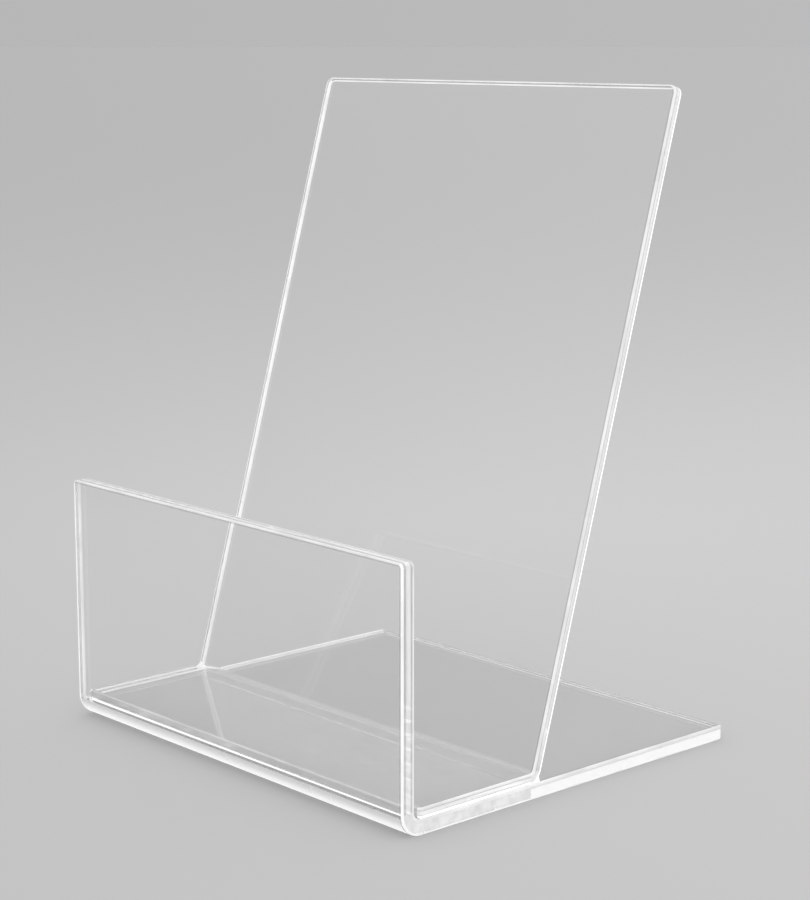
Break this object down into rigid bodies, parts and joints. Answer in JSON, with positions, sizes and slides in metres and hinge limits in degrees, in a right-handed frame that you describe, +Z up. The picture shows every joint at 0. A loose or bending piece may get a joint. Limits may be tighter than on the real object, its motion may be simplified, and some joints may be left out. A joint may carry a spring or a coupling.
{
  "type": "book holder",
  "caption": "Clear acrylic book holder: an upright front lip, a shelf and a leaning back rest on a flat base that runs on behind it.",
  "frame": {"origin": "on the floor under the middle of the base", "axes": "+X to a reader's right, +Y to the rear, +Z up; the reader faces the front lip and looks along +Y"},
  "size_m": [0.15, 0.13, 0.195],
  "materials": {
    "clear_base_sheet": "clear cast acrylic sheet, glossy faces, polished bright edges and a fine-sawn rear side edge",
    "clear_rest_sheet": "clear cast acrylic sheet, glossy faces and flame-polished edges",
    "set_cement": "clear set acrylic cement, slightly cloudy"
  },
  "bodies": {
    "root": {"lip_and_base": "clear_base_sheet", "shelf_and_rest": "clear_rest_sheet", "cement_joint": "set_cement"}
  },
  "joints": []
}
